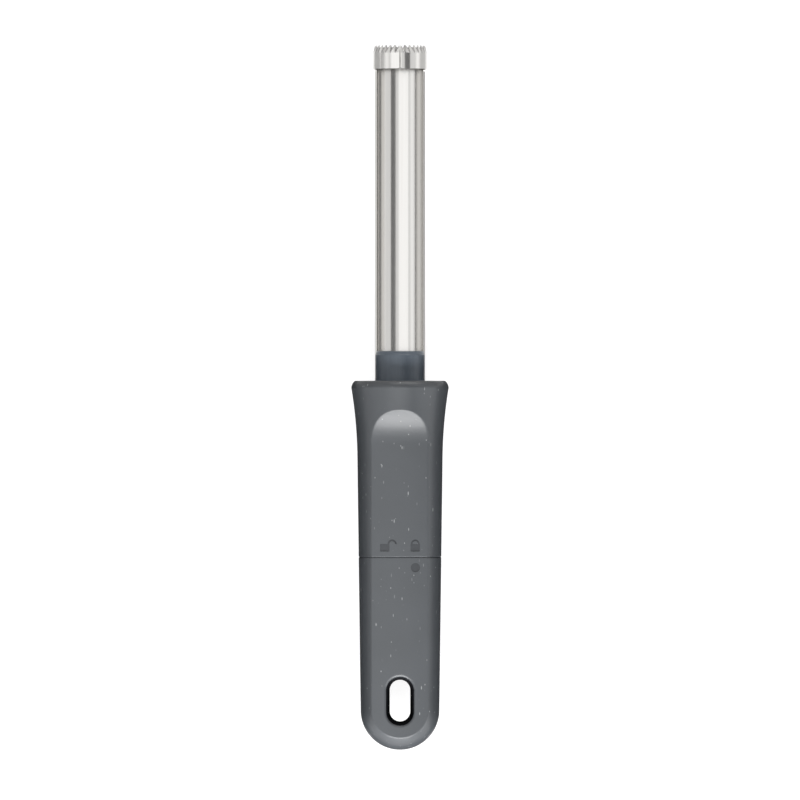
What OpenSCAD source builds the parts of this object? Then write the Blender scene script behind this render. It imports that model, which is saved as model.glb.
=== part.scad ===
// Apple corer: a serrated tube blade on a two-part handle.
// Twisting the lower half of the handle undoes a bayonet lock. The upper half then slides
// along the blade, and its plunger pushes the core out through the cutting ring.
// Each piece is drawn standing on the round end of the handle, front towards -Y.
// The assembled corer is then laid on its back, with the cutting ring towards +Y.
// Angles round the axis are counted from the front towards +X.

/* [Overall] */
// Length from the round end of the handle to the tips of the teeth
overall_length = 245; // [235:1:265]
// Length of the handle, both halves together
handle_length = 128.4; // [124:0.1:134]
// Height of the parting line above the round end
split_height = 67.1; // [64:0.1:70]
// Gap between the two halves of the handle
split_gap = 0.2; // [0.1:0.05:0.4]
// Depth of the step that makes the parting line show
lip_depth = 0.2; // [0.1:0.05:0.6]
// Height of that step on each half
lip_height = 0.2; // [0.1:0.05:0.6]

/* [Grip] */
// Radius of the round end
end_r = 13.7; // [13.2:0.1:15]
// Diameter of the grip where the flare starts
waist_d = 29.66; // [29:0.1:32]
// Largest diameter of the flare
rim_d = 33.9; // [32:0.1:38]
// Diameter of the flat face at the mouth
mouth_d = 31; // [29:0.1:33]
// Height of the rounded bevel between the widest place and the mouth
bevel_height = 2.4; // [1.5:0.1:4]
// Fullness of that bevel, where 2 is a quarter of an ellipse and less is flatter
bevel_fullness = 1.6; // [1.4:0.1:2.4]
// Length of the flare below that bevel
flare_length = 24; // [20:0.5:30]
// Width of the pressed-in panels on the front and the back
panel_w = 19.7; // [18:0.1:21]
// Radius of the panels' slight crown
crown_r = 80; // [60:5:120]
// Distance from the mouth down to where a panel starts to curve out into the flare
scoop_drop = 22.1; // [19:0.1:25]
// Radius of that curve, seen from the side
scoop_r = 21; // [18:0.5:24]

/* [Hanging slot] */
// Width of the slot at the faces
slot_w = 9.5; // [8:0.1:11]
// Length of the slot at the faces
slot_l = 16.8; // [14:0.1:20]
// Width of the slot at its narrowest, half way through
slot_waist_w = 7.45; // [6.5:0.05:8]
// Distance from the round end to the near end of the slot
slot_end = 8.7; // [7.5:0.1:9.5]

/* [Blade] */
// Thickness of the stainless sheet
sheet_t = 0.7; // [0.5:0.05:0.8]
// Outside diameter of the cutting ring
ring_d = 18.8; // [18:0.1:19]
// Height of the cutting ring, teeth included
ring_height = 8.1; // [7:0.1:10]
// Angle round the back that the open trough covers
trough_angle = 137; // [125:1:140]
// Gap at the seam of the ring
seam_gap = 0.4; // [0.2:0.05:0.8]
// Radius of the seam's lower corners
seam_corner_r = 0.6; // [0.3:0.1:1]
// Radius between the ring and the edges of the trough
root_r = 1; // [0.5:0.1:1.5]
// Land left where that radius starts under the ring
root_land = 0.05; // [0.03:0.01:0.1]
// Length of the trough below the parting line
tang_length = 32; // [26:0.5:34]

/* [Teeth] */
// Number of teeth round the ring
tooth_count = 32; // [24:1:36]
// Height of the bevel ground on the outside of the ring
grind_height = 2.6; // [2:0.1:3.5]
// Width of the land left at the tips
tip_land = 0.08; // [0.05:0.01:0.2]
// Radius of the round gullets between the teeth
gullet_r = 0.7; // [0.5:0.05:0.75]
// Depth of a gullet through the wall
gullet_depth = 0.7; // [0.6:0.1:1.5]
// Slope of a gullet against the axis, running out of the outer face
gullet_slope = 19; // [15:1:25]
// Lean of the gullets towards the seam
gullet_lean = 18; // [0:1:24]

/* [Plunger] */
// How far the plunger's head stands out of the mouth
head_proud = 10.3; // [8:0.1:14]
// Thickness of the head
head_t = 3; // [2:0.1:5]
// Wall of the hollow plunger
plunger_wall = 1.4; // [1:0.1:2]
// Width of the bevel round the head
head_bevel_w = 0.4; // [0.2:0.1:0.8]
// Height of the bevel round the head
head_bevel_h = 1.2; // [0.8:0.1:2]
// Width of the key along the plunger's front
key_w = 4; // [3:0.1:6]
// Height of the key
key_h = 1; // [0.6:0.1:1.2]
// Length of the key
key_length = 35; // [25:1:40]

/* [Blade carrier] */
// Wall of the carrier's barrel
barrel_wall = 3.6; // [3:0.1:5]
// Height of the collar that the tang stands on
collar_height = 4; // [3:0.1:5]
// Radius of the thrust flange
flange_r = 10; // [9.8:0.05:10.05]
// Thickness of the thrust flange
flange_t = 3.7; // [3:0.1:4]
// Diameter of the rivets' shanks
rivet_d = 2.5; // [2:0.1:3]
// Diameter of the rivets' heads
rivet_head_d = 4.4; // [4:0.1:5]
// Land left in the sheet under the countersunk heads
rivet_land = 0.1; // [0.05:0.05:0.2]
// Distance between the two rivets
rivet_pitch = 12; // [10:0.5:14]

/* [Twist lock] */
// Angle between locked and unlocked
unlock_turn = 54; // [45:1:56]
// Angle at which the first hook's stem starts
hook_start = 62; // [61:0.5:63]
// Angle that a hook's stem covers
hook_stem = 12; // [10:0.5:13]
// Angle that a hook's head reaches beyond its stem
hook_reach = 10; // [7:0.5:11]
// Inner radius of the hooks
hook_r = 10.6; // [10.5:0.05:10.7]
// Radial thickness of the hooks
hook_t = 1.6; // [1.4:0.05:1.65]
// Height of a hook's head
hook_head_h = 2.2; // [1.8:0.1:2.4]
// Radius of the hook ring and the lock plate
plate_r = 13; // [12.9:0.05:13.1]
// Half the distance between their flats
plate_flat = 9.9; // [9.8:0.05:10]
// Thickness of the hook ring
hook_ring_t = 2.5; // [2:0.1:3]
// Thickness of the lock plate
lock_plate_t = 2; // [1.8:0.1:2.2]

/* [Fits] */
// Radial clearance of what slides or turns
running_fit = 0.08; // [0.04:0.01:0.1]
// Clearance of pieces fixed in one another
seat_fit = 0.05; // [0.03:0.01:0.1]
// Axial play of the turning half
axial_play = 0.1; // [0.05:0.05:0.2]
// Angle left clear at the ends of slots and windows
angle_play = 1; // [0.5:0.1:1.5]
// Room under the heads of the hooks in their pockets
pocket_room = 0.3; // [0.2:0.1:0.6]

/* [Hidden] */
$fn = 96;

grip_grey = [0.40, 0.41, 0.43];
plunger_grey = [0.22, 0.23, 0.25];
insert_grey = [0.30, 0.31, 0.33];
stainless = [0.78, 0.78, 0.77];

over = 1;                                   // how far a cut runs past a face, or a form into the one it joins
waist_r = waist_d / 2;
rim_r = rim_d / 2;
mouth_r = mouth_d / 2;
rim_height = handle_length - bevel_height;
waist_height = rim_height - flare_length;
lower_top = split_height - split_gap / 2;
upper_bottom = split_height + split_gap / 2;

ring_r = ring_d / 2;
core_r = ring_r - sheet_t;                  // inside of the ring and the trough
ring_bottom = overall_length - ring_height;
tang_bottom = split_height - tang_length;
trough_edge = 180 - trough_angle / 2;       // angle of the trough's right-hand edge
plunger_r = core_r - running_fit;
trough_path_r = ring_r + running_fit;       // what the trough's outside runs in

plate_top = lower_top;
plate_bottom = plate_top - lock_plate_t;
flange_top = plate_bottom - axial_play;
flange_bottom = flange_top - flange_t;
collar_bottom = tang_bottom - collar_height;
hook_head_top = plate_bottom - axial_play;
hook_head_bottom = hook_head_top - hook_head_h;
pocket_bottom = hook_head_bottom - pocket_room;
hook_window_end = hook_start + unlock_turn + hook_stem;
ring_seat_top = upper_bottom + hook_ring_t;
head_face = handle_length + head_proud;

// A panel's edge lies where the round grip is panel_w wide.
function edge_depth(r) = sqrt(r * r - pow(panel_w / 2, 2));
crown_rise = crown_r - edge_depth(crown_r);
panel_tilt = atan((edge_depth(waist_r) - edge_depth(end_r)) / (waist_height - end_r));

// Points of the grip's outline above the round end, up the side to the mouth.
function taper_r(h) = end_r + (waist_r - end_r) * (h - end_r) / (waist_height - end_r);
function flare_r(h) = taper_r(h)
    + (rim_r - taper_r(rim_height)) * pow((h - waist_height) / flare_length, 2);
flare_steps = 10;
bevel_steps = 6;
grip_side = concat(
    [[0, end_r], [end_r, end_r]],
    [for (i = [0:flare_steps]) let (h = waist_height + flare_length * i / flare_steps) [flare_r(h), h]],
    [for (i = [1:bevel_steps]) let (a = 90 * i / bevel_steps, power = 2 / bevel_fullness)
        [mouth_r + (rim_r - mouth_r) * pow(cos(a), power), rim_height + bevel_height * pow(sin(a), power)]],
    [[0, handle_length]]
);

// A wide wedge between two angles, to cut arcs out of circles.
module wedge(from, to, r) {
    steps = ceil((to - from) / 30);
    polygon(concat([[0, 0]], [for (i = [0:steps])
        let (a = from + (to - from) * i / steps) [1.2 * r * sin(a), -1.2 * r * cos(a)]]));
}

// Part of a flat ring between two radii and two angles.
module arc_band(inner, outer, from, to) {
    intersection() {
        difference() {
            circle(outer);
            circle(inner);
        }
        wedge(from, to, outer);
    }
}

// Puts its children on each of two opposite sides of the axis.
module both_sides() {
    for (turn = [0, 180]) rotate([0, 0, turn]) children();
}

// A round hole or rod from the axis out towards the front.
module towards_front(r, from, to) {
    translate([0, -from, 0]) rotate([90, 0, 0]) cylinder(r = r, h = to - from);
}

// Everything outside the front panel, up to where it curves out through the flare.
module panel_cut(inset) {
    reach = rim_r + over;
    low = -end_r - over;
    scoop_start = handle_length - scoop_drop - end_r;
    translate([0, inset - edge_depth(end_r), end_r]) rotate([panel_tilt, 0, 0]) {
        difference() {
            translate([-reach, -reach, low]) cube([2 * reach, reach + over, scoop_start - low]);
            translate([0, crown_r - crown_rise, low - over])
                cylinder(r = crown_r, h = scoop_start - low + 2 * over, $fn = 360);
        }
        translate([0, -scoop_r, scoop_start]) rotate([90, 0, 90]) rotate_extrude(angle = 90)
            difference() {
                translate([0, -reach]) square([scoop_r + over, 2 * reach]);
                translate([scoop_r - crown_rise + crown_r, 0]) circle(crown_r, $fn = 720);
            }
    }
}

// The outer form of the handle between two heights, or inset from it.
module grip_form(from, to, inset = 0) {
    difference() {
        rotate_extrude() intersection() {
            union() {
                polygon([for (p = grip_side) [max(0, p[0] - inset), p[1]]]);
                intersection() {
                    translate([0, end_r]) circle(end_r - inset);
                    square([end_r, end_r]);
                }
            }
            translate([0, from]) square([rim_r, to - from]);
        }
        for (side = [0, 1]) mirror([0, side, 0]) panel_cut(inset);
    }
}

// The slot to hang the corer by, which narrows towards the middle of the handle.
module hanging_slot() {
    depth = edge_depth(end_r) + crown_rise;
    waist_l = slot_l - (slot_w - slot_waist_w);
    for (side = [0, 1]) mirror([0, side, 0]) hull() for (end = [-1, 1])
        translate([0, 0, slot_end + slot_l / 2 + end * (waist_l - slot_waist_w) / 2])
            rotate([90, 0, 0]) cylinder(
                r1 = slot_waist_w / 2,
                r2 = slot_w / 2 + (slot_w - slot_waist_w) / 2 / depth * over,
                h = depth + over, $fn = 64);
}

// Outline shared by the hook ring and the lock plate, with flats behind the panels.
module plate_outline(grow = 0) {
    intersection() {
        circle(plate_r + grow);
        square([2 * (plate_r + grow), 2 * (plate_flat + grow)], center = true);
    }
}

// The passage through the upper half for the trough and the plunger inside it.
module trough_passage(bore) {
    circle(bore);
    arc_band(core_r - 2 * running_fit, trough_path_r, trough_edge - angle_play, 360 - trough_edge + angle_play);
}

module cutting_ring() {
    difference() {
        rotate_extrude() polygon([
            [core_r, ring_bottom], [ring_r, ring_bottom], [ring_r, overall_length - grind_height],
            [core_r + tip_land, overall_length], [core_r, overall_length],
        ]);
        seam();
        for (i = [0:tooth_count - 1]) gullet((i + 0.5) * 360 / tooth_count);
    }
}

// The seam at the front of the ring, with its two lower corners rounded off.
module seam() {
    corner = seam_gap / 2 + seam_corner_r;
    rotate([90, 0, 0]) linear_extrude(ring_r + over) {
        translate([-seam_gap / 2, ring_bottom - over]) square([seam_gap, ring_height + 2 * over]);
        difference() {
            translate([-corner, ring_bottom - over]) square([2 * corner, seam_corner_r + over]);
            for (side = [-1, 1]) translate([side * corner, ring_bottom + seam_corner_r])
                circle(seam_corner_r);
        }
    }
}

// One round gullet. It cuts through the wall at the tips and runs out of the outer face below.
module gullet(angle) {
    lean = angle < 180 ? -gullet_lean : gullet_lean;
    rotate([0, 0, angle])
        translate([0, -core_r - gullet_r + gullet_depth * tan(gullet_slope), overall_length])
            rotate([-gullet_slope, lean, 0])
                cylinder(r = gullet_r, h = 4 * grind_height, center = true);
}

// The quarter-round that joins the right-hand edge of the trough to the ring. The land
// keeps it from starting in a knife edge.
module trough_root() {
    mid_r = (core_r + ring_r) / 2;
    root_angle = trough_edge - root_r / mid_r * 180 / PI;
    root_bottom = ring_bottom - root_land - root_r;
    difference() {
        translate([0, 0, root_bottom]) linear_extrude(root_r + root_land + over)
            arc_band(core_r, ring_r, root_angle, trough_edge);
        rotate([0, 0, root_angle]) translate([0, 0, root_bottom])
            towards_front(root_r, core_r - over, ring_r + over);
    }
}

module blade() {
    color(stainless) difference() {
        union() {
            cutting_ring();
            translate([0, 0, tang_bottom]) linear_extrude(ring_bottom + over - tang_bottom)
                arc_band(core_r, ring_r, trough_edge, 360 - trough_edge);
            for (side = [0, 1]) mirror([side, 0, 0]) trough_root();
        }
        at_rivets() countersunk(core_r - over, seat_fit);
    }
}

module at_rivets() {
    for (i = [0, 1]) translate([0, 0, tang_bottom + rivet_pitch / 2 + i * rivet_pitch]) children();
}

// A shank with a countersunk head, which widens out through the back of the tang.
module countersunk(from, grow) {
    depth = sheet_t - rivet_land;
    spread = (rivet_head_d - rivet_d) / 2 / depth;
    shank_r = rivet_d / 2 + grow;
    rotate([-90, 0, 0]) rotate_extrude() polygon([
        [0, from], [shank_r, from], [shank_r, ring_r - depth],
        [shank_r + spread * (depth + over), ring_r + over], [0, ring_r + over],
    ]);
}

module blade_carrier() {
    barrel_r = core_r - seat_fit;
    head_seat = barrel_r - sheet_t - over;
    color(insert_grey) difference() {
        union() {
            translate([0, 0, collar_bottom]) cylinder(r = barrel_r, h = plate_top - collar_bottom);
            translate([0, 0, collar_bottom]) cylinder(r = ring_r, h = collar_height - seat_fit);
            translate([0, 0, flange_bottom]) linear_extrude(flange_t) difference() {
                circle(flange_r);
                arc_band(barrel_r, flange_r + over, trough_edge - angle_play, 360 - trough_edge + angle_play);
            }
        }
        translate([0, 0, tang_bottom]) cylinder(r = barrel_r - barrel_wall, h = plate_top);
        at_rivets() {
            rotate([90, 0, 0]) cylinder(r = rivet_d / 2 + seat_fit, h = 2 * ring_d, center = true);
            towards_front(rivet_head_d / 2 + seat_fit, head_seat, ring_d);
        }
    }
}

// Two rivets: a countersunk head flush with the tang, a shank and a formed head at the front.
module tang_rivets() {
    head_seat = core_r - seat_fit - sheet_t - over;
    color(stainless) at_rivets() {
        intersection() {
            countersunk(-head_seat, 0);
            cylinder(r = ring_r, h = 2 * rivet_head_d, center = true);
        }
        towards_front(rivet_head_d / 2, head_seat, head_seat + over);
    }
}

// The bore of the lower half, which widens for the carrier's flange up to the lock plate.
module stepped_bore() {
    bore_bottom = collar_bottom - axial_play;
    step = flange_bottom - axial_play;
    rotate_extrude() polygon([
        [0, bore_bottom], [trough_path_r, bore_bottom], [trough_path_r, step],
        [flange_r + running_fit, step], [flange_r + running_fit, plate_bottom], [0, plate_bottom],
    ]);
}

module lower_handle() {
    color(grip_grey) difference() {
        union() {
            grip_form(0, lower_top - lip_height);
            grip_form(lower_top - lip_height - over, lower_top, lip_depth);
        }
        hanging_slot();
        stepped_bore();
        translate([0, 0, plate_bottom]) linear_extrude(lock_plate_t + over) plate_outline(seat_fit);
        translate([0, 0, pocket_bottom]) linear_extrude(plate_bottom + over - pocket_bottom)
            both_sides() arc_band(flange_r, hook_r + hook_t + 2 * running_fit,
                hook_start - hook_reach - angle_play, hook_window_end + angle_play);
    }
}

// The lock plate's bore clears the trough while the lower half turns. The shelf between
// the ends of that clearance holds the carrier's flange and stops the turn at both ends.
module lock_plate() {
    color(insert_grey) translate([0, 0, plate_bottom]) linear_extrude(lock_plate_t)
        difference() {
            plate_outline();
            circle(core_r + running_fit);
            arc_band(core_r - over, trough_path_r,
                trough_edge - angle_play, 360 - trough_edge + unlock_turn + angle_play);
            both_sides() arc_band(hook_r - 2 * running_fit, hook_r + hook_t + 2 * running_fit,
                hook_start - angle_play, hook_window_end + angle_play);
        }
}

module upper_handle() {
    color(grip_grey) difference() {
        union() {
            grip_form(upper_bottom + lip_height, handle_length);
            grip_form(upper_bottom, upper_bottom + lip_height + over, lip_depth);
        }
        translate([0, 0, split_height]) linear_extrude(handle_length)
            trough_passage(plunger_r + seat_fit);
        translate([0, 0, split_height]) linear_extrude(hook_ring_t + split_gap / 2)
            plate_outline(seat_fit);
        translate([-key_w / 2 - seat_fit, -plunger_r - key_h - seat_fit, split_height])
            cube([key_w + 2 * seat_fit, plunger_r, ring_seat_top + key_length + seat_fit - split_height]);
    }
}

module hook_ring() {
    hook_outer = hook_r + hook_t;
    color(insert_grey) {
        translate([0, 0, upper_bottom]) linear_extrude(hook_ring_t) difference() {
            plate_outline();
            trough_passage(plunger_r - plunger_wall);
        }
        both_sides() {
            translate([0, 0, hook_head_bottom]) linear_extrude(upper_bottom + over - hook_head_bottom)
                arc_band(hook_r, hook_outer, hook_start, hook_start + hook_stem);
            translate([0, 0, hook_head_bottom]) linear_extrude(hook_head_h)
                arc_band(hook_r, hook_outer, hook_start - hook_reach, hook_start + hook_stem);
        }
    }
}

module plunger() {
    color(plunger_grey) difference() {
        union() {
            rotate_extrude() polygon([
                [0, ring_seat_top], [plunger_r, ring_seat_top], [plunger_r, head_face - head_bevel_h],
                [plunger_r - head_bevel_w, head_face], [0, head_face],
            ]);
            translate([-key_w / 2, -plunger_r - key_h, ring_seat_top])
                cube([key_w, plunger_r, key_length]);
        }
        translate([0, 0, ring_seat_top - over])
            cylinder(r = plunger_r - plunger_wall, h = head_face - head_t - ring_seat_top + over);
    }
}

// Lays the corer on its back, ring towards +Y, its lowest point at the origin's height.
module lay_down() {
    translate([0, -overall_length / 2, rim_r]) rotate([-90, 0, 0]) children();
}

lay_down() blade();
lay_down() blade_carrier();
lay_down() tang_rivets();
lay_down() lower_handle();
lay_down() lock_plate();
lay_down() upper_handle();
lay_down() hook_ring();
lay_down() plunger();
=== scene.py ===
"""The looks of an apple corer with a twist lock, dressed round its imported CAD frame.

Everything is drawn standing on the round end of the handle, in millimetres: x to the right,
y towards the back, and the height s above the round end. laid() then turns points onto their
back, into the frame's metres. Angles round the axis are counted from the front towards +X.
"""

import math

import bpy
import bmesh
import numpy as np
from mathutils import Matrix, Vector


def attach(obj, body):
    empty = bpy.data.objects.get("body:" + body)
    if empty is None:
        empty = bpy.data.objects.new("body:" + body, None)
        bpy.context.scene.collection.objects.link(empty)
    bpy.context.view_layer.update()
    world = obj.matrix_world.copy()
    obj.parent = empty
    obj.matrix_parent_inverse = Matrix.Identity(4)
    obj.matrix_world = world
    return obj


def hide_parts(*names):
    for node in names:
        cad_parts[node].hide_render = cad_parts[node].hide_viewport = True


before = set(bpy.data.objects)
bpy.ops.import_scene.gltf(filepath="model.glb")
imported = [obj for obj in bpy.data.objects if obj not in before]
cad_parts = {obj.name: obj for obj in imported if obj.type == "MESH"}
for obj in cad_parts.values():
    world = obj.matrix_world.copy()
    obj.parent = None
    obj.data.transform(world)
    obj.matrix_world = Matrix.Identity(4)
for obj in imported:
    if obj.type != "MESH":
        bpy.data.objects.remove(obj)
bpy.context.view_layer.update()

# Sizes, as in the part's source

LENGTH = 245.0
AXIS_HEIGHT = 16.95          # of the tool's axis above the floor, which is the flare's radius
MERGED, SLIVER = 2e-7, 1e-7  # metres: points this close are one, and edges this short are dropped

END_R = 13.7
WAIST_R, WAIST_S = 14.83, 102.0
RIM_R, RIM_S = 16.95, 126.0
MOUTH_R, MOUTH_S = 15.5, 128.4
PANEL_W = 19.7
PANEL_EDGE = 0.22            # how far the panels' borders are rounded
CROWN_R = 80.0
SCOOP_S, SCOOP_R = 106.3, 21.0
SPLIT_S, SPLIT_GAP = 67.1, 0.2
LIP, LIP_GAP = 0.12, 0.04    # the step beside the parting line, and the gap left inside it
LIP_ROUNDING = 0.1
SIGN_DEPTH = 0.22            # of the lock signs and the dot, pressed into the panel

# The slot's waist is drawn 0.3 mm narrower than the source's, so that its dark wall shows as
# broad as in the photo.
SLOT_W, SLOT_L, SLOT_WAIST_W, SLOT_S = 9.5, 16.8, 7.15, 17.1
SLOT_ROUNDING = 0.9
SLOT_STEEP = 0.35            # the slot's faces that lean outwards less than this are its wall, painted near black as shade

RING_R, SHEET_T = 9.4, 0.7
CORE_R = RING_R - SHEET_T
RING_S = 236.9
TROUGH_EDGE = 111.5          # degrees from the front
TANG_S = 35.1
GRIND, TOOTH_LAND = 2.6, 0.08    # height of the ground bevel, and what it leaves at the teeth's tips
TOOTH_COUNT = 32
RIVET_R, RIVETS_S = 1.3, (41.1, 53.1)

PLUNGER_R = 8.62
PLUNGER_WALL = 1.4
HEAD_S, HEAD_T = 138.7, 3
KEY_HALF_W, KEY_IN, KEY_OUT, KEY_TOP_S = 2, 8.4, 9.62, 104.7

PLATE_R, PLATE_FLAT = 13.05, 9.95
PLATE_S = 65.0               # floor of the lock plate's seat
POCKET_IN, POCKET_OUT, POCKET_S = 9.9, 12.36, 62.3
POCKET_ARC = (51, 129)       # degrees from the front
BORE_S = 31.0                # floor of the blade's bore in the lower half
BORE_R, PASSAGE_R = RING_R + 0.08, PLUNGER_R + 0.05
RING_TOP_S = 69.7            # roof of the hook ring's seat, on which the plunger stands

# Heights and radii where cutters end, clear of the faces that they open.
UNDER_SPLIT_S, OVER_SPLIT_S, OVER_MOUTH_S = 60.0, 70.0, 135.0
INSIDE_SHEET, OUTSIDE_SHEET = 8.0, 10.4


def edge_depth(r):
    """How far in front of the axis a circle passes the panel's edge."""
    return math.sqrt(r * r - (PANEL_W / 2) ** 2)


PANEL_DEPTH = edge_depth(END_R)
PANEL_TILT = math.atan((edge_depth(WAIST_R) - PANEL_DEPTH) / (WAIST_S - END_R))
CROWN_RISE = CROWN_R - edge_depth(CROWN_R)


# Meshes

def laid(points):
    """Standing points in millimetres, laid on their back in the frame's metres."""
    p = np.asarray(points, float)
    return np.stack([p[..., 0], p[..., 2] - LENGTH / 2, AXIS_HEIGHT - p[..., 1]], -1) / 1000


def polar(angle, radius, s):
    """A standing point from its angle round the axis in radians, its radius and its height."""
    angle, radius, s = np.broadcast_arrays(angle, radius, s)
    return np.stack([radius * np.sin(angle), -radius * np.cos(angle), s], -1)


def placed(name, data):
    """A new object in the scene."""
    thing = bpy.data.objects.new(name, data)
    bpy.context.scene.collection.objects.link(thing)
    return thing


def new_piece(name, points, faces, finish):
    """A mesh object of standing points, its doubled points merged and its faces turned outwards."""
    shape = bmesh.new()
    corners = [shape.verts.new(p) for p in laid(points)]
    for face in faces:
        ring = [corners[i] for i in dict.fromkeys(face)]
        if len(ring) > 2 and not shape.faces.get(ring):
            shape.faces.new(ring)
    bmesh.ops.remove_doubles(shape, verts=shape.verts, dist=MERGED)
    bmesh.ops.dissolve_degenerate(shape, edges=shape.edges, dist=SLIVER)
    bmesh.ops.delete(shape, geom=[e for e in shape.edges if not e.link_faces], context="EDGES")
    bmesh.ops.recalc_face_normals(shape, faces=shape.faces)
    mesh = bpy.data.meshes.new(name)
    shape.to_mesh(mesh)
    shape.free()
    mesh.materials.append(finish)
    return placed(name, mesh)


def lofted(name, rows, finish, closed=False):
    """A solid's skin over rows of points, each row a closed ring of equal count. The first and
    the last ring are filled, or joined to each other where the rows close."""
    rows = np.asarray(rows, float)
    n, m = rows.shape[:2]
    steps = range(n) if closed else range(n - 1)
    faces = [(i * m + j, i * m + (j + 1) % m, (i + 1) % n * m + (j + 1) % m, (i + 1) % n * m + j)
             for i in steps for j in range(m)]
    if not closed:
        faces += [tuple(range(m)), tuple(range((n - 1) * m, n * m))]
    return new_piece(name, rows.reshape(-1, 3), faces, finish)


def revolved(name, profile, finish, count=192):
    """A closed profile of (radius, height) points turned round the axis."""
    turn = np.linspace(0, 2 * math.pi, count, endpoint=False)
    rows = [polar(turn, r, s) for r, s in profile]
    return lofted(name, rows, finish, closed=True)


def prism(name, outline, s_low, s_high, finish):
    """An outline of (x, y) points drawn up along the axis."""
    outline = np.asarray(outline, float)
    rows = [np.column_stack([outline, np.full(len(outline), s)]) for s in (s_low, s_high)]
    return lofted(name, rows, finish)


def combine(piece, others, operation="DIFFERENCE"):
    """Takes the other solids out of the piece, or unites them with it. Their faces keep their finish."""
    for other in others:
        for finish in other.data.materials:
            if finish.name not in piece.data.materials:
                piece.data.materials.append(finish)
        step = piece.modifiers.new("combine", "BOOLEAN")
        step.operation, step.solver, step.object = operation, "MANIFOLD", other
        step.material_mode = "TRANSFER"
    shown = piece.evaluated_get(bpy.context.evaluated_depsgraph_get())
    made = bpy.data.meshes.new_from_object(shown)
    piece.modifiers.clear()
    old, piece.data = piece.data, made
    bpy.data.meshes.remove(old)
    for other in others:
        bpy.data.objects.remove(other)


def smooth(piece, crease=32):
    """Smooth shading, with every edge sharper than crease degrees left crisp."""
    piece.data.shade_smooth()
    piece.data.set_sharp_from_angle(angle=math.radians(crease))


# Colours and finishes

# A pattern's scale is 1000 over its real size in millimetres.
COLOUR_A, COLOUR_B, COLOUR_OUT = 6, 7, 2     # a colour Mix node's sockets


def linear(hex_colour):
    """An sRGB hex colour as Blender's linear RGBA."""
    parts = [int(hex_colour[i:i + 2], 16) / 255 for i in (1, 3, 5)]
    return [c / 12.92 if c <= 0.04045 else ((c + 0.055) / 1.055) ** 2.4 for c in parts] + [1]


def add_node(tree, kind, inputs=(), **settings):
    """Adds a node, sets it up and fills its inputs with values or with other nodes' outputs."""
    node = tree.nodes.new(kind)
    for key, value in settings.items():
        setattr(node, key, value)
    for key, value in dict(inputs).items():
        if isinstance(value, bpy.types.NodeSocket):
            tree.links.new(value, node.inputs[key])
        else:
            node.inputs[key].default_value = value
    return node


def new_finish(name):
    """A new material with its node tree and its shader."""
    finish = bpy.data.materials.new(name)
    finish.use_nodes = True
    return finish, finish.node_tree, finish.node_tree.nodes["Principled BSDF"]


def fleck_layer(tree, place, turn, across, along, size, share):
    """How strongly a pale fleck shows at each place. A share of the cells, which are turned and
    longer along the fibre than across it, holds one, and size is its part of the cell."""
    turned = add_node(tree, "ShaderNodeMapping", {
        "Vector": place, "Rotation": turn, "Scale": (1000 / across, 1000 / along, 1000 / across)})
    cells = add_node(tree, "ShaderNodeTexVoronoi", {"Vector": turned.outputs[0], "Scale": 1.0})
    near = add_node(tree, "ShaderNodeMapRange", {
        "Value": cells.outputs["Distance"], "From Min": size, "From Max": size * 0.55})
    pick = add_node(tree, "ShaderNodeSeparateColor", {"Color": cells.outputs["Color"]})
    chosen = add_node(tree, "ShaderNodeMath", {0: pick.outputs[0], 1: share}, operation="LESS_THAN")
    strength = add_node(tree, "ShaderNodeMath", {0: pick.outputs[1], 1: 0.5}, operation="MULTIPLY")
    weight = near.outputs[0]
    for part in (chosen, strength):
        product = add_node(tree, "ShaderNodeMath", {0: weight, 1: part.outputs[0]}, operation="MULTIPLY")
        weight = product.outputs[0]
    return weight


def flecked_polypropylene():
    """Injection-moulded polypropylene with short plant fibres in it: a satin blue-grey skin, faintly
    clouded, with sparse pale flecks 0.4 to 2 mm long that lie in all directions."""
    finish, tree, skin = new_finish("flecked_polypropylene")
    place = add_node(tree, "ShaderNodeTexCoord").outputs["Object"]
    cloud = add_node(tree, "ShaderNodeTexNoise", {"Vector": place, "Scale": 1000 / 16, "Detail": 2.0})
    base = add_node(tree, "ShaderNodeMix", {
        "Factor": cloud.outputs["Fac"],
        COLOUR_A: linear("#404346"),
        COLOUR_B: linear("#484B4F")}, data_type="RGBA")
    colour = base.outputs[COLOUR_OUT]
    # Each layer's turn, its cells' size in millimetres across and along the fibre, the fleck's
    # size in its cell and the share of cells that hold one.
    for layer in (((0.3, 0.2, 0.5), 1.5, 5.0, 0.16, 0.22),
                  ((0.2, -0.4, 2.0), 1.4, 4.4, 0.15, 0.22),
                  ((0.1, 0.3, 1.2), 1.6, 2.4, 0.15, 0.3)):
        flecked = add_node(tree, "ShaderNodeMix", {
            "Factor": fleck_layer(tree, place, *layer),
            COLOUR_A: colour,
            COLOUR_B: linear("#B9BBBC")}, data_type="RGBA")
        colour = flecked.outputs[COLOUR_OUT]
    tree.links.new(colour, skin.inputs["Base Color"])
    # The mould's fine spark-eroded texture, 0.25 mm grains.
    grain = add_node(tree, "ShaderNodeTexNoise", {"Vector": place, "Scale": 1000 / 0.25, "Detail": 3.0})
    rough = add_node(tree, "ShaderNodeMapRange", {
        "Value": grain.outputs["Fac"], "To Min": 0.32, "To Max": 0.42})
    bump = add_node(tree, "ShaderNodeBump", {
        "Height": grain.outputs["Fac"], "Strength": 0.12, "Distance": 0.00003})
    tree.links.new(rough.outputs[0], skin.inputs["Roughness"])
    tree.links.new(bump.outputs[0], skin.inputs["Normal"])
    skin.inputs["IOR"].default_value = 1.55
    return finish


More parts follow.
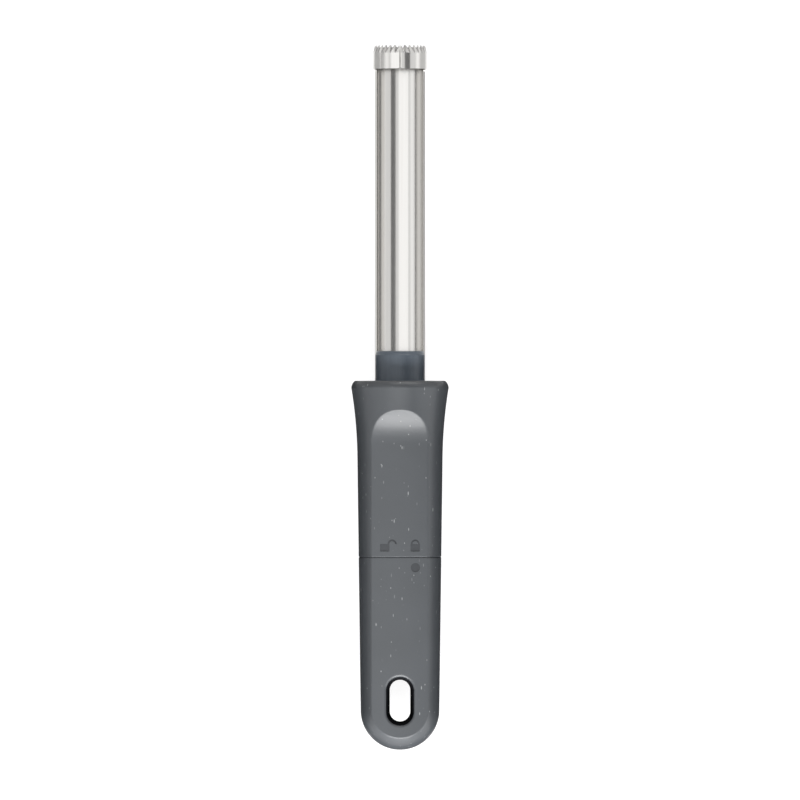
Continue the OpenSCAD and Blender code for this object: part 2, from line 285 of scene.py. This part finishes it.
def painted_shade_recess():
    """The same plastic in the pressed-in signs, where the mould is polished: free of flecks, and painted
    darker as the shade in these shallow recesses.
    """
    finish, tree, skin = new_finish("painted_shade_recess")
    place = add_node(tree, "ShaderNodeTexCoord").outputs["Object"]
    cloud = add_node(tree, "ShaderNodeTexNoise", {"Vector": place, "Scale": 1000 / 3})
    base = add_node(tree, "ShaderNodeMix", {
        "Factor": cloud.outputs["Fac"],
        COLOUR_A: linear("#323538"),
        COLOUR_B: linear("#393B3F")}, data_type="RGBA")
    tree.links.new(base.outputs[COLOUR_OUT], skin.inputs["Base Color"])
    skin.inputs["Roughness"].default_value = 0.38
    skin.inputs["IOR"].default_value = 1.49
    return finish


def painted_shade_slot_wall():
    """The wall of the hanging slot, rough from its core pin and seen along its steep draft. Its near-black
    colour is painted shade: the grip's own plastic is not this dark."""
    finish, tree, skin = new_finish("painted_shade_slot_wall")
    skin.inputs["Base Color"].default_value = linear("#232427")
    skin.inputs["Roughness"].default_value = 0.9
    skin.inputs["Specular IOR Level"].default_value = 0.0
    return finish


def glossy_acetal(name, dark, light, roughness):
    """Injection-moulded acetal, the slippery plastic of sliding parts: dense, even and rather glossy,
    with faint drag marks along its travel."""
    finish, tree, skin = new_finish(name)
    place = add_node(tree, "ShaderNodeTexCoord").outputs["Object"]
    drawn = add_node(tree, "ShaderNodeMapping", {
        "Vector": place, "Scale": (1000 / 0.5, 1000 / 30, 1000 / 0.5)})
    drag = add_node(tree, "ShaderNodeTexNoise", {"Vector": drawn.outputs[0], "Scale": 1.0, "Detail": 3.0})
    base = add_node(tree, "ShaderNodeMix", {
        "Factor": drag.outputs["Fac"], COLOUR_A: linear(dark), COLOUR_B: linear(light)}, data_type="RGBA")
    rough = add_node(tree, "ShaderNodeMapRange", {
        "Value": drag.outputs["Fac"], "To Min": roughness - 0.04, "To Max": roughness + 0.06})
    tree.links.new(base.outputs[COLOUR_OUT], skin.inputs["Base Color"])
    tree.links.new(rough.outputs[0], skin.inputs["Roughness"])
    skin.inputs["IOR"].default_value = 1.48
    return finish


def rolled_stainless(name, dark, light, roughness, streaks):
    """Stainless sheet, brushed along the blade and then buffed: near mirror bright across the
    brushing, with fine long streaks."""
    finish, tree, skin = new_finish(name)
    place = add_node(tree, "ShaderNodeTexCoord").outputs["Object"]
    # The brushing is drawn 0.45 mm wide, as its real 0.05 mm lines are too fine to show.
    drawn = add_node(tree, "ShaderNodeMapping", {
        "Vector": place, "Scale": (1000 / 0.45, 1000 / 60, 1000 / 0.45)})
    brush = add_node(tree, "ShaderNodeTexNoise", {"Vector": drawn.outputs[0], "Scale": 1.0, "Detail": 4.0})
    tint = add_node(tree, "ShaderNodeMix", {
        "Factor": brush.outputs["Fac"], COLOUR_A: linear(dark), COLOUR_B: linear(light)}, data_type="RGBA")
    rough = add_node(tree, "ShaderNodeMapRange", {
        "Value": brush.outputs["Fac"], "To Min": roughness - 0.05, "To Max": roughness + 0.06})
    bump = add_node(tree, "ShaderNodeBump", {
        "Height": brush.outputs["Fac"], "Strength": streaks, "Distance": 0.00001})
    tree.links.new(tint.outputs[COLOUR_OUT], skin.inputs["Base Color"])
    tree.links.new(rough.outputs[0], skin.inputs["Roughness"])
    tree.links.new(bump.outputs[0], skin.inputs["Normal"])
    skin.inputs["Metallic"].default_value = 1.0
    return finish


GRIP = flecked_polypropylene()
# The pressed-in signs and the dot are painted darker, as shade in their recesses.
RECESS_PAINTED_SHADE = painted_shade_recess()
SLOT_WALL_PAINTED_SHADE = painted_shade_slot_wall()
PLUNGER = glossy_acetal("plunger_acetal", "#565F69", "#5F6872", 0.34)
INSERT = glossy_acetal("insert_acetal", "#2C2E31", "#323437", 0.36)
SHEET = rolled_stainless("buffed_stainless_sheet", "#CBC9C6", "#D3D2D0", 0.15, 0.25)
GROUND = rolled_stainless("ground_stainless_gullets", "#A09E9C", "#AEACAA", 0.24, 0.1)


# The grip's form

def side_radius(s):
    """Radius of the turned form: round end, slow taper, flare and rounded bevel at the mouth."""
    s = np.asarray(s, float)
    slope = (WAIST_R - END_R) / (WAIST_S - END_R)
    taper = END_R + slope * (s - END_R)
    at_rim = END_R + slope * (RIM_S - END_R)
    flare = (RIM_R - at_rim) * (np.clip(s - WAIST_S, 0, None) / (RIM_S - WAIST_S)) ** 2
    dome = np.sqrt(np.clip(s * (2 * END_R - s), 0, None))
    up = np.clip((s - RIM_S) / (MOUTH_S - RIM_S), 0, 1)
    bevel = MOUTH_R + (RIM_R - MOUTH_R) * (1 - up ** 1.6) ** (1 / 1.6)
    return np.where(s < END_R, dome, np.where(s > RIM_S, bevel, taper + flare))


def panel_depth(s, x):
    """Distance of the front panel from the axis. The panel is slightly crowned, leans outwards
    up the handle and curves out through the flare at its top."""
    sine, cosine = math.sin(PANEL_TILT), math.cos(PANEL_TILT)
    crown = CROWN_R - np.sqrt(CROWN_R ** 2 - np.clip(x, -20, 20) ** 2) - CROWN_RISE
    inward = crown
    for _ in range(4):
        along = (s - END_R - inward * sine) / cosine
        up = np.clip(along - (SCOOP_S - END_R), 0, None)
        scoop = np.sqrt(np.clip((SCOOP_R + crown) ** 2 - up ** 2, 0, None)) - SCOOP_R
        inward = np.where(up > 0, scoop, crown)
    return PANEL_DEPTH - inward * cosine + along * sine


def grip_radius(s, angle, inset):
    """Radius of the grip in each direction, less an inset, with the panels' borders rounded."""
    ahead = np.maximum(np.abs(np.cos(angle)), 0.05)      # kept off zero, where the side is nearer anyway
    sideways = np.abs(np.sin(angle))
    to_panel = panel_depth(s, 0.0) / ahead
    for _ in range(5):
        to_panel = panel_depth(s, to_panel * sideways) / ahead
    to_panel = to_panel - inset / ahead
    to_side = side_radius(s) - inset
    blend = np.clip(PANEL_EDGE - np.abs(to_side - to_panel), 0, None) / PANEL_EDGE
    return np.minimum(to_side, to_panel) - blend ** 2 * PANEL_EDGE / 4


def border_angle(s):
    """Half the angle that the front panel covers at each height, 0 where there is no panel."""
    low, high = np.zeros_like(s), np.full_like(s, math.radians(70))
    side = side_radius(s)
    none = side - panel_depth(s, np.zeros_like(s)) <= 0
    for _ in range(40):
        middle = (low + high) / 2
        inside = side * np.cos(middle) > panel_depth(s, side * np.sin(middle))
        low, high = np.where(inside, middle, low), np.where(inside, high, middle)
    return np.where(none, 0, low)


def panel_end(s_in, s_out):
    """Height at which the panel's border closes, between a height inside it and one outside it."""
    for _ in range(50):
        middle = (s_in + s_out) / 2
        if side_radius(middle) > panel_depth(middle, 0.0):
            s_in = middle
        else:
            s_out = middle
    return (s_in + s_out) / 2


ARCH_TOP = panel_end(110.0, 124.0)
ARCH_FOOT = panel_end(10.0, 2.0)

# Columns of the skin, as shares: from a panel's middle to its border, and from there round the
# side to the other panel. Both crowd towards the border.
ACROSS = np.array([0, .12, .25, .38, .5, .62, .73, .82, .89, .94, .97, .985, .993, .997])
AROUND = np.array([0, .0025, .006, .012, .022, .04, .065, .1, .14, .18, .22, .26, .3, .34, .38, .42, .46])
# How far the skin's rings lie from the height where a panel's border closes. Only the first
# twelve go on past it.
NEAR = np.array([0.0, 0.03, 0.07, 0.12, 0.18, 0.26, 0.36, 0.5, 0.7, 0.95, 1.3, 1.7, 2.2, 2.8, 3.6, 4.6, 6.0])
PAST = NEAR[:12]
RING_STEP, RING_LEAST = 1.5, 0.15    # height between plain rings, and the least to a crowded one


def grip_ring(s, inset=0.0):
    """One closed ring of the grip's skin at a height, its points gathered at the panels' borders."""
    border = float(border_angle(np.array([s]))[0])
    half = np.concatenate([ACROSS * border,
                           border + AROUND * (math.pi - 2 * border), [math.pi / 2],
                           math.pi - border - (AROUND * (math.pi - 2 * border))[::-1],
                           math.pi - (ACROSS * border)[::-1]])
    angle = np.concatenate([half[:-1], 2 * math.pi - half[::-1][:-1]])
    return polar(angle, grip_radius(s, angle, inset), s)


def heights(low, high):
    """Heights of the skin's rings, close together where a panel's border runs across them."""
    plain = np.arange(END_R, high, RING_STEP)
    dome = END_R * (1 - np.cos(np.radians(np.arange(3, 90, 4))))
    arcs = np.concatenate([ARCH_TOP - NEAR, ARCH_TOP + PAST, ARCH_FOOT + NEAR, ARCH_FOOT - PAST,
                           [RIM_S - 0.3, RIM_S - 0.1, RIM_S, RIM_S + 0.05, RIM_S + 0.12],
                           RIM_S + (MOUTH_S - RIM_S) * np.sin(np.linspace(0.1, math.pi / 2, 14))])
    plain = np.concatenate([dome, plain])
    plain = plain[[np.min(np.abs(h - arcs)) > RING_LEAST for h in plain]]
    found = np.unique(np.round(np.concatenate([plain, arcs]), 4))
    return [h for h in found if low < h < high]


def lip_rings(edge_s, direction):
    """Heights and insets of one half's rings at the parting line: a rounded edge, the step that
    makes the line show, and a chamfer that all but closes the gap behind it."""
    rings = []
    for a in np.linspace(0, math.pi / 2, 7):
        back = LIP_ROUNDING * (math.sin(a) - 1)
        rings.append((edge_s + direction * back, LIP_ROUNDING * (1 - math.cos(a))))
    inside = LIP + (SPLIT_GAP - LIP_GAP) / 2
    rings += [(edge_s, LIP), (edge_s + direction * LIP, LIP), (edge_s + direction * inside, inside)]
    return rings


def grip_half(name, s_low, s_high, lip_at, lip_first):
    """The skin of one half of the handle, closed at both ends, before its hollows are cut. Its lip
    comes first on the upper half, whose other end is the mouth, and last on the round-ended one."""
    lip = lip_rings(lip_at, -1 if lip_first else 1)
    low = lip[0][0] if lip_first else s_low
    high = s_high if lip_first else lip[0][0]
    rows = [grip_ring(s) for s in heights(low, high)]
    lip_rows = [grip_ring(s, inset) for s, inset in lip]
    if lip_first:
        rows = lip_rows[::-1] + rows + [grip_ring(s_high)]
    else:
        rows = [polar(np.zeros(rows[0].shape[0]), 0, s_low)] + rows + lip_rows
    return lofted(name, rows, GRIP)


# Hollows, slot and signs

def arc_points(radius, start, end, step=3.0):
    """Points of an arc from the front, in degrees."""
    a = np.radians(np.linspace(start, end, max(2, int(abs(end - start) / step) + 1)))
    return np.column_stack([radius * np.sin(a), -radius * np.cos(a)])


def circle_points(radius, count=128):
    """Points of a full circle round the axis."""
    return arc_points(radius, 0, 360, 360 / count)[:-1]


def band_points(inner, outer, start, end):
    """Points round a curved band between two radii."""
    return np.concatenate([arc_points(inner, start, end), arc_points(outer, end, start)])


def plate_points():
    """The outline shared by the lock plate and the hook ring: a disc with flats behind the panels."""
    corner = math.degrees(math.acos(PLATE_FLAT / PLATE_R))
    return np.concatenate([arc_points(PLATE_R, corner, 180 - corner),
                           arc_points(PLATE_R, 180 + corner, 360 - corner)])


def passage_points():
    """The passage for the plunger, with the wider arc for the trough round its back."""
    edge = TROUGH_EDGE - 1
    return np.concatenate([arc_points(PASSAGE_R, -edge, edge),
                           arc_points(BORE_R, edge, 360 - edge)])


def slot_points(grow, count=28):
    """The hanging slot's outline in (x, s), two half rounds, grown outwards."""
    half = (SLOT_L - SLOT_W) / 2
    r = SLOT_W / 2 + grow
    outline = []
    for centre, start in ((SLOT_S + half, 0.0), (SLOT_S - half, math.pi)):
        for a in np.linspace(start, start + math.pi, count):
            outline.append((r * math.cos(a), r * math.sin(a) + centre))
    return np.array(outline)


def pressed(name, outline, depth, finish):
    """A cutter that presses an outline of (x, s) points into the front panel to an even depth."""
    outline = np.asarray(outline, float)
    x, s = outline[:, 0], outline[:, 1]
    face, clear = -panel_depth(s, x), 1.0
    rows = [np.column_stack([x, face + depth, s]), np.column_stack([x, face - clear, s])]
    return lofted(name, rows, finish)


def hanging_slot():
    """A cutter for the hanging slot: rounded edges front and back, and a draft to its narrow middle."""
    draft = (SLOT_W - SLOT_WAIST_W) / 2
    # Each row's growth of the outline, and its depth under the panel: first as a share of the
    # way to the handle's middle, then in millimetres.
    steps = [(SLOT_ROUNDING, 0.0, -1.0)]
    for a in np.linspace(0, math.pi / 2, 13):
        steps.append((SLOT_ROUNDING * (1 - math.sin(a)), 0.0, SLOT_ROUNDING * (1 - math.cos(a))))
    steps += [(-draft * share, share, SLOT_ROUNDING * (1 - share)) for share in np.linspace(0.1, 1, 8)]
    front = []
    for grow, share, under in steps:
        outline = slot_points(grow)
        depth = panel_depth(outline[:, 1], outline[:, 0]) * (1 - share) - under
        front.append(np.column_stack([outline[:, 0], -depth, outline[:, 1]]))
    back = [row * (1, -1, 1) for row in front[:-1]][::-1]
    cutter = lofted("hanging_slot", front + back, GRIP)
    cutter.data.materials.append(SLOT_WALL_PAINTED_SHADE)
    # The slot's steep faces take the near-black painted shade.
    for face in cutter.data.polygons:
        if abs(face.normal.z) < SLOT_STEEP:
            face.material_index = 1
    return cutter


def box_outline(x0, x1, s0, s1, corner=0.12):
    """A rectangle with its corners just broken."""
    return [(x0 + corner, s0), (x1 - corner, s0), (x1, s0 + corner), (x1, s1 - corner),
            (x1 - corner, s1), (x0 + corner, s1), (x0, s1 - corner), (x0, s0 + corner)]


def shackle_outline(x, s_foot, s_foot_right, s_top, outer, thick):
    """A padlock's shackle: a half round on two legs, whose right leg may end higher."""
    crown = s_top - outer
    a = np.linspace(0, math.pi, 15)
    over = np.column_stack([x + outer * np.cos(a), crown + outer * np.sin(a)])
    under = np.column_stack([x + (outer - thick) * np.cos(a), crown + (outer - thick) * np.sin(a)])[::-1]
    return np.concatenate([[(x + outer, s_foot_right)], over, [(x - outer, s_foot)],
                           [(x - outer + thick, s_foot)], under, [(x + outer - thick, s_foot_right)]])


def lock_signs():
    """The closed padlock on the right and the open one on the left, its shackle swung aside."""
    return [
        pressed("closed_body", box_outline(3.68, 6.88, 69.1, 71.7), SIGN_DEPTH, RECESS_PAINTED_SHADE),
        pressed("closed_shackle", shackle_outline(5.28, 71.4, 71.4, 73.3, 1.5, 0.55), SIGN_DEPTH, RECESS_PAINTED_SHADE),
        pressed("open_body", box_outline(-6.92, -3.68, 69.1, 71.75), SIGN_DEPTH, RECESS_PAINTED_SHADE),
        pressed("open_shackle", shackle_outline(-2.72, 71.35, 71.8, 73.3, 1.6, 0.6), SIGN_DEPTH, RECESS_PAINTED_SHADE),
    ]


def dot_sign():
    """The dot on the lower half that points at the padlocks."""
    x, s, radius = 5.35, 63.5, 1.6
    a = np.linspace(0, 2 * math.pi, 40, endpoint=False)
    outline = np.column_stack([x + radius * np.cos(a), s + radius * np.sin(a)])
    return pressed("dot", outline, SIGN_DEPTH, RECESS_PAINTED_SHADE)


# The handle's two halves

def lower_grip():
    """The lower half: round end, hanging slot, dot, and the hollows behind the parting line."""
    piece = grip_half("lower_grip", 0.0, SPLIT_S, SPLIT_S - SPLIT_GAP / 2 - LIP, lip_first=False)
    start, end = POCKET_ARC
    pockets = [prism(f"pocket_{i}", band_points(POCKET_IN, POCKET_OUT, start + turn, end + turn),
                     POCKET_S, PLATE_S + 0.01, INSERT)
               for i, turn in enumerate((0, 180))]
    combine(piece, [
        hanging_slot(),
        dot_sign(),
        prism("bore", circle_points(BORE_R), BORE_S, OVER_SPLIT_S, GRIP),
        prism("plate_seat", plate_points(), PLATE_S, OVER_SPLIT_S, GRIP),
        *pockets,
    ])
    smooth(piece)
    return piece


def upper_grip():
    """The upper half: flare, thumb scoop, lock signs, and the passage for trough and plunger."""
    piece = grip_half("upper_grip", SPLIT_S, MOUTH_S, SPLIT_S + SPLIT_GAP / 2 + LIP, lip_first=True)
    combine(piece, [
        *lock_signs(),
        prism("passage", passage_points(), UNDER_SPLIT_S, OVER_MOUTH_S, GRIP),
        prism("ring_seat", plate_points(), UNDER_SPLIT_S, RING_TOP_S, GRIP),
    ])
    smooth(piece)
    return piece


# The blade

def opening_cutter():
    """What is cut from the full tube to leave the ring and the trough: the front below the ring,
    rounded into it at both sides, and the seam with its two rounded corners. Its tops are given
    over the arc's length from the seam, along the middle of the sheet."""
    mid_r = RING_R - SHEET_T / 2
    end = math.radians(TROUGH_EDGE) * mid_r
    seam, corner, root = 0.2, 0.6, 1.0
    foot, past_teeth = TANG_S - 1.0, LENGTH + 1
    arcs = [0.0, seam - 1e-4]
    tops = [past_teeth, past_teeth]
    for a in np.linspace(0, math.pi / 2, 10):
        arcs.append(seam + corner * (1 - math.cos(a)))
        tops.append(RING_S + corner * (1 - math.sin(a)))
    for a in np.linspace(seam + corner, end - root, 40)[1:-1]:
        arcs.append(a)
        tops.append(RING_S)
    for a in np.linspace(0, math.pi / 2, 14):
        arcs.append(end - root + root * math.sin(a))
        tops.append(RING_S - root * (1 - math.cos(a)))
    arcs, tops = np.array(arcs), np.array(tops)
    arcs = np.concatenate([-arcs[:0:-1], arcs])
    tops = np.concatenate([tops[:0:-1], tops])
    turn = arcs / mid_r
    rows = []
    for angle, top in zip(turn, tops):
        rows.append([polar(angle, INSIDE_SHEET, foot), polar(angle, OUTSIDE_SHEET, foot),
                     polar(angle, OUTSIDE_SHEET, top), polar(angle, INSIDE_SHEET, top)])
    return lofted("opening", rows, SHEET)


def rotated(points, angle, u, v):
    """Points turned by an angle from their coordinate u towards their coordinate v."""
    c, s = math.cos(angle), math.sin(angle)
    out = points.copy()
    out[:, u] = c * points[:, u] - s * points[:, v]
    out[:, v] = s * points[:, u] + c * points[:, v]
    return out


def gullets():
    """The slanted round cuts that make the teeth. They lean towards the seam from both sides."""
    radius, depth, slope, lean = 0.7, 0.7, math.radians(19), math.radians(18)
    around = np.linspace(0, 2 * math.pi, 48, endpoint=False)
    at_core = np.array([0, -CORE_R - radius + depth * math.tan(slope), LENGTH])
    x, y, s = 0, 1, 2
    made = []
    for i in range(TOOTH_COUNT):
        turn = 2 * math.pi * (i + 0.5) / TOOTH_COUNT
        side = -lean if turn < math.pi else lean
        rows = []
        for height in (-2 * GRIND, 2 * GRIND):
            ring = np.column_stack([radius * np.cos(around), radius * np.sin(around),
                                    np.full_like(around, height)])
            ring = rotated(rotated(ring, -slope, y, s), side, s, x)
            rows.append(rotated(ring + at_core, turn, x, y))
        made.append(lofted(f"gullet_{i}", rows, GROUND))
    return made


def rivet_hole(s):
    """A countersunk hole through the back of the tang."""
    inside, sink, flare = 7.7, 8.8, 1.583
    mouth_r = RIVET_R + flare * (OUTSIDE_SHEET - sink)
    turn = np.linspace(0, 2 * math.pi, 32, endpoint=False)
    rows = []
    for r, y in ((RIVET_R, inside), (RIVET_R, sink), (mouth_r, OUTSIDE_SHEET)):
        rows.append(np.column_stack([r * np.cos(turn), np.full_like(turn, y), s + r * np.sin(turn)]))
    return lofted("rivet_hole", rows, SHEET)


def rolled_blade():
    """Ring, trough and tang in one rolled sheet, its teeth ground in."""
    piece = revolved("rolled_blade", [
        (CORE_R, TANG_S), (RING_R, TANG_S), (RING_R, RING_S), (RING_R, LENGTH - GRIND),
        (CORE_R + TOOTH_LAND, LENGTH), (CORE_R, LENGTH), (CORE_R, RING_S)], SHEET, count=240)
    combine(piece, [opening_cutter(), *gullets(), *(rivet_hole(s) for s in RIVETS_S)])
    smooth(piece, 12)        # few enough degrees to keep the bevel's shading off the ring
    return piece


# The plunger

def plunger_with_head():
    """The sliding plunger: a thin-walled tube closed by its bevelled head, and the key on its front."""
    # The head's bevel, rounded at both ends: inwards from the side and down from the top.
    bevel = [(PLUNGER_R - inwards, HEAD_S - down) for inwards, down in (
        (0, 1.32), (0.06, 1.26), (0.2, 0.7), (0.38, 0.12), (0.48, 0.03), (0.62, 0))]
    bore = PLUNGER_R - PLUNGER_WALL
    piece = revolved("plunger_head", [
        (0.0, HEAD_S - HEAD_T), (bore, HEAD_S - HEAD_T), (bore, RING_TOP_S), (PLUNGER_R, RING_TOP_S),
        *bevel, (0.0, HEAD_S)], PLUNGER)
    key = [(-KEY_HALF_W, -KEY_IN), (KEY_HALF_W, -KEY_IN), (KEY_HALF_W, -KEY_OUT), (-KEY_HALF_W, -KEY_OUT)]
    combine(piece, [prism("key", key, RING_TOP_S, KEY_TOP_S, PLUNGER)], "UNION")
    smooth(piece)
    return piece


# The corer, piece by piece

def dress(piece, body, node):
    """The piece stands for a CAD node, which it hides, and rides on its body."""
    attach(piece, body)
    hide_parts(node)


dress(rolled_blade(), "blade_unit", "blade")
dress(lower_grip(), "lower_half", "lower_handle")
dress(upper_grip(), "upper_half", "upper_handle")
dress(plunger_with_head(), "upper_half", "plunger")

for node, finish in (("blade_carrier", INSERT), ("lock_plate", INSERT),
                     ("hook_ring", INSERT), ("tang_rivets", SHEET)):
    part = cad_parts[node]
    part.data.materials.clear()
    part.data.materials.append(finish)


# Floor, light and camera, in metres

FLOOR_HALF = 4
CARD_HALF = 0.4              # of a hanging card's length
CARD_LIFT = 0.0015           # of the cards that lie on the floor


def flat_sheet(name, corners):
    """A sheet with four corners."""
    mesh = bpy.data.meshes.new(name)
    mesh.from_pydata(corners, [], [(0, 1, 2, 3)])
    return placed(name, mesh)


def seen_or_mirrored(tree):
    """1 for what the camera sees, straight or in clear or glossy stuff, and 0 for what lights the corer."""
    rays = add_node(tree, "ShaderNodeLightPath").outputs
    seen = rays["Is Camera Ray"]
    for kind in ("Is Glossy Ray", "Is Transmission Ray"):
        both = add_node(tree, "ShaderNodeMath", {0: seen, 1: rays[kind]}, operation="ADD", use_clamp=True)
        seen = both.outputs[0]
    return seen


def lit_floor():
    """A pale floor that the camera and clear reflections see as white, with the corer's shadow on it."""
    half = FLOOR_HALF
    floor = flat_sheet("floor", [(-half, -half, 0), (half, -half, 0), (half, half, 0), (-half, half, 0)])
    finish, tree, paper = new_finish("white_paper")
    paper.inputs["Base Color"].default_value = linear("#959595")
    paper.inputs["Roughness"].default_value = 0.9
    paper.inputs["Specular IOR Level"].default_value = 0.0
    seen = seen_or_mirrored(tree)
    glow = add_node(tree, "ShaderNodeMath", {0: seen, 1: 0.86}, operation="MULTIPLY")
    paper.inputs["Emission Color"].default_value = (1, 1, 1, 1)
    tree.links.new(glow.outputs[0], paper.inputs["Emission Strength"])
    floor.data.materials.append(finish)


def white_surroundings(level):
    """A white studio: the camera and reflections see it at full strength, and it lights more softly."""
    world = bpy.data.worlds.new("studio")
    bpy.context.scene.world = world
    world.use_nodes = True
    tree = world.node_tree
    seen = seen_or_mirrored(tree)
    strength = add_node(tree, "ShaderNodeMapRange", {"Value": seen, "To Min": level, "To Max": 1.0})
    tree.links.new(strength.outputs[0], tree.nodes["Background"].inputs["Strength"])
    tree.nodes["Background"].inputs["Color"].default_value = (1, 1, 1, 1)


def softbox(name, sideways, footwards, distance, width, length, radiance):
    """An area lamp aimed at the corer, set off from straight above by two angles in degrees. Its
    width lies across the corer and its length along it."""
    lamp = bpy.data.lights.new(name, "AREA")
    lamp.shape, lamp.size, lamp.size_y = "RECTANGLE", width, length
    lamp.energy = radiance * math.pi * width * length
    box = placed(name, lamp)
    a, b = math.radians(sideways), math.radians(footwards)
    away = Vector((math.sin(a), -math.sin(b) * math.cos(a), math.cos(a) * math.cos(b)))
    across = Vector((away.z, 0, -away.x)).normalized()
    box.matrix_world = Matrix((across, away.cross(across), away)).transposed().to_4x4()
    box.location = away * distance
    box.visible_camera = False


def grey_card(name, grey, corners, two_sided=True):
    """A matt card that the steel mirrors, itself out of the picture and without a shadow. A card
    that isn't two-sided can't be seen from behind."""
    card = flat_sheet(name, corners)
    finish, tree, felt = new_finish(name + "_felt")
    felt.inputs["Base Color"].default_value = linear(grey)
    felt.inputs["Roughness"].default_value = 1.0
    felt.inputs["Specular IOR Level"].default_value = 0.0
    if not two_sided:
        under = add_node(tree, "ShaderNodeNewGeometry").outputs["Backfacing"]
        clear = add_node(tree, "ShaderNodeBsdfTransparent")
        mixed = add_node(tree, "ShaderNodeMixShader", {0: under, 1: felt.outputs[0], 2: clear.outputs[0]})
        tree.links.new(mixed.outputs[0], tree.nodes["Material Output"].inputs["Surface"])
    card.data.materials.append(finish)
    card.visible_camera = False
    card.visible_shadow = False
    card.visible_transmission = False


def floor_card(name, grey, x_low, x_high, y_low, y_high):
    """A card on the floor, there only for what looks down on it."""
    corners = [(x_low, y_low, CARD_LIFT), (x_high, y_low, CARD_LIFT),
               (x_high, y_high, CARD_LIFT), (x_low, y_high, CARD_LIFT)]
    grey_card(name, grey, corners, two_sided=False)


def studio_camera():
    """A long lens straight above the corer, at the photograph's angle and framing."""
    view_width, shift = 0.2784, -0.0008
    lens = bpy.data.cameras.new("camera")
    lens.lens, lens.sensor_width = 600, 36
    lens.clip_start, lens.clip_end = 0.1, 20
    camera = placed("camera", lens)
    distance = view_width / 2 / (lens.sensor_width / 2 / lens.lens)
    camera.location = (0.0, shift, AXIS_HEIGHT / 1000 + distance)
    bpy.context.scene.camera = camera


lit_floor()
white_surroundings(0.08)
# Each box: degrees sideways and towards the round end, distance, width, length and radiance.
softbox("overhead_left", -16, -8, 1.0, 0.82, 1.0, 0.46)
softbox("left_strip", -57, 0, 1.0, 0.3, 0.8, 0.3)
softbox("right_low", 80, 0, 1.0, 0.3, 0.8, 0.4)
softbox("left_foot", -48, 65, 0.8, 0.5, 0.3, 1.1)
softbox("right_foot", 48, 65, 0.8, 0.5, 0.3, 3.6)
softbox("foot", 0, 50, 1.0, 0.75, 0.58, 9.7)
softbox("foot_low", 0, 75, 0.42, 0.3, 0.1, 8.3)
softbox("head", 8, -62, 0.7, 0.6, 0.2, 4.5)
grey_card("right_card", "#A4A4A4", [(0.34, -CARD_HALF, 0.93), (0.65, -CARD_HALF, 0.71),
                                    (0.65, CARD_HALF, 0.71), (0.34, CARD_HALF, 0.93)])
grey_card("left_horizon", "#E8E8E8", [(-0.5, -CARD_HALF, 0.02), (-0.5, CARD_HALF, 0.02),
                                      (-0.5, CARD_HALF, 0.17), (-0.5, -CARD_HALF, 0.17)])
grey_card("head_card", "#303030", [(-CARD_HALF, 0.57, 0.8), (CARD_HALF, 0.57, 0.8),
                                   (CARD_HALF, 0.88, 0.5), (-CARD_HALF, 0.88, 0.5)])
# The dark cards give the handle its dark sides and end, and the pale ones shade the steel's edges.
floor_card("floor_card_foot", "#161616", -0.03, 0.03, -0.155, -0.1245)
for side, name, tone in ((-1, "left", "#C6C6C6"), (1, "right", "#DADADA")):
    floor_card(f"floor_card_{name}", "#161616", *sorted((side * 0.0175, side * 0.16)), -0.135, 0.0165)
    floor_card(f"ring_card_{name}", tone, *sorted((side * 0.024, side * 0.2)), 0.02, 0.15)
studio_camera()

bpy.context.scene.view_settings.view_transform = "Standard"
